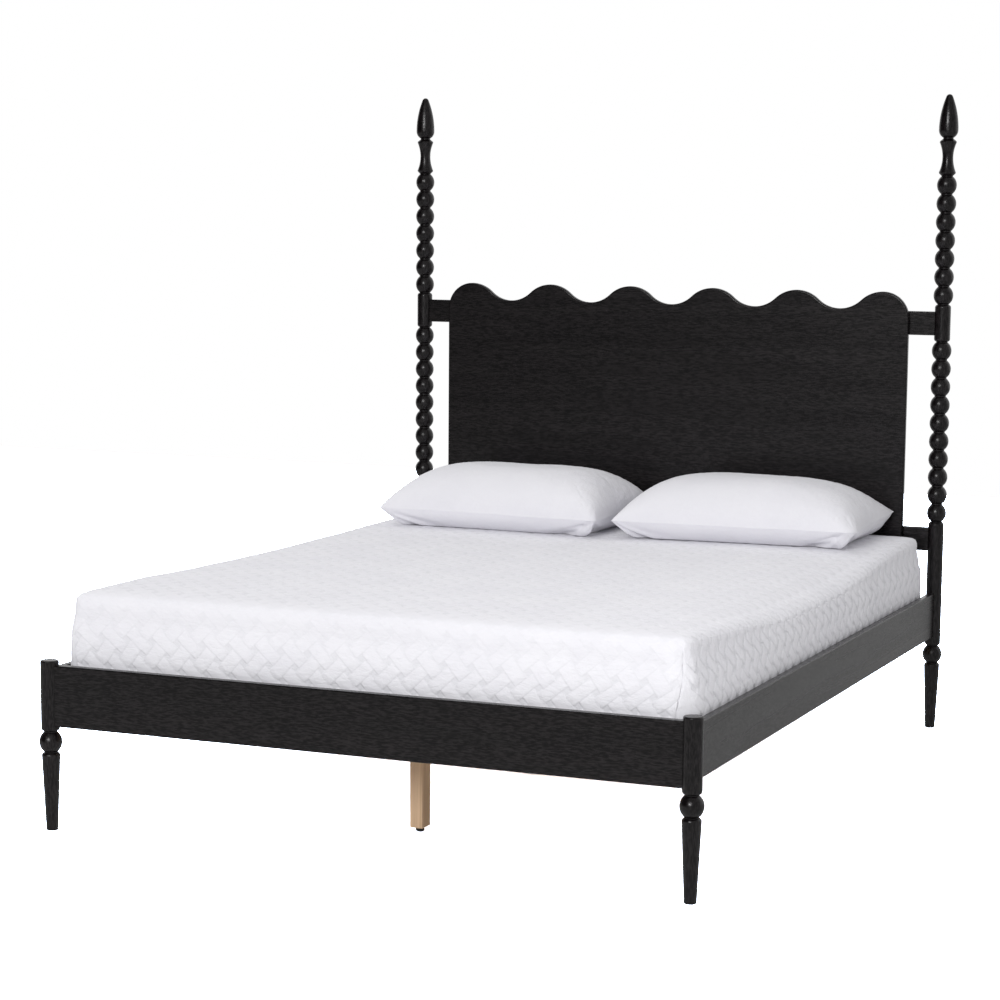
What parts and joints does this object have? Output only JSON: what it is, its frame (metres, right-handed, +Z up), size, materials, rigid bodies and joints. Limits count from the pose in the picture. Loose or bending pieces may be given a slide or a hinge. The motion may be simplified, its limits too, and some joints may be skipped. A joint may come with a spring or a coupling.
{
  "type": "platform bed",
  "caption": "Low four-post platform bed with bobbin-turned rear posts, flame finials, a scalloped panel headboard, thin rails and a slatted base, with a mattress and pillows.",
  "frame": {"origin": "on the floor, midway between the four posts", "axes": "+X to the right as seen from the foot, +Y from the foot to the headboard, +Z up"},
  "size_m": [1.6444, 2.1554, 1.778],
  "materials": {
    "black_wood": "black stain under a satin lacquer, fine grain",
    "raw_wood": "bare pale wood, planed",
    "zinc_steel": "zinc plated",
    "black_plastic": "matt",
    "white_fabric": "quilted white cotton"
  },
  "bodies": {
    "frame": {"front_post_left": "black_wood", "front_post_right": "black_wood", "rear_post_left": "black_wood", "rear_post_right": "black_wood", "spindle_left": "black_wood", "spindle_right": "black_wood", "finial_left": "black_wood", "finial_right": "black_wood", "foot_rail": "black_wood", "head_rail": "black_wood", "side_rail_left": "black_wood", "side_rail_right": "black_wood", "headboard_panel": "black_wood", "upper_stretcher": "black_wood", "lower_stretcher": "black_wood", "ledger_left": "raw_wood", "ledger_right": "raw_wood", "centre_beam": "raw_wood", "support_leg_1": "raw_wood", "support_leg_2": "raw_wood", "support_leg_3": "raw_wood", "slat_01": "raw_wood", "slat_02": "raw_wood", "slat_03": "raw_wood", "slat_04": "raw_wood", "slat_05": "raw_wood", "slat_06": "raw_wood", "slat_07": "raw_wood", "slat_08": "raw_wood", "slat_09": "raw_wood", "slat_10": "raw_wood", "slat_11": "raw_wood", "slat_12": "raw_wood", "slat_13": "raw_wood", "slat_14": "raw_wood", "rail_dowels": "raw_wood", "beam_hanger_foot": "zinc_steel", "beam_hanger_head": "zinc_steel", "rail_bolts": "zinc_steel", "half_moon_washers": "zinc_steel", "rail_nuts": "zinc_steel", "ledger_screws": "zinc_steel", "slat_screws": "zinc_steel", "panel_screws": "zinc_steel", "hanger_screws": "zinc_steel", "spindle_studs": "zinc_steel", "finial_studs": "zinc_steel", "leg_studs": "zinc_steel", "glide_nuts": "zinc_steel"},
    "glide_1": {"leveling_glide_1": "black_plastic"},
    "glide_2": {"leveling_glide_2": "black_plastic"},
    "glide_3": {"leveling_glide_3": "black_plastic"},
    "mattress": {"mattress": "white_fabric"},
    "pillow_left": {"pillow_left": "white_fabric"},
    "pillow_right": {"pillow_right": "white_fabric"}
  },
  "joints": [
    {"name": "glide_1_screw", "type": "slide", "parent": "frame", "child": "glide_1", "axis": [0, 0, 1], "range_m": [-0.01, 0.0035]},
    {"name": "glide_2_screw", "type": "slide", "parent": "frame", "child": "glide_2", "axis": [0, 0, 1], "range_m": [-0.01, 0.0035]},
    {"name": "glide_3_screw", "type": "slide", "parent": "frame", "child": "glide_3", "axis": [0, 0, 1], "range_m": [-0.01, 0.0035]},
    {"name": "mattress_lift", "type": "slide", "parent": "frame", "child": "mattress", "axis": [0, 0, 1], "range_m": [0, 0.3]},
    {"name": "pillow_left_lift", "type": "slide", "parent": "mattress", "child": "pillow_left", "axis": [0, 0, 1], "range_m": [0, 0.3]},
    {"name": "pillow_right_lift", "type": "slide", "parent": "mattress", "child": "pillow_right", "axis": [0, 0, 1], "range_m": [0, 0.3]}
  ]
}
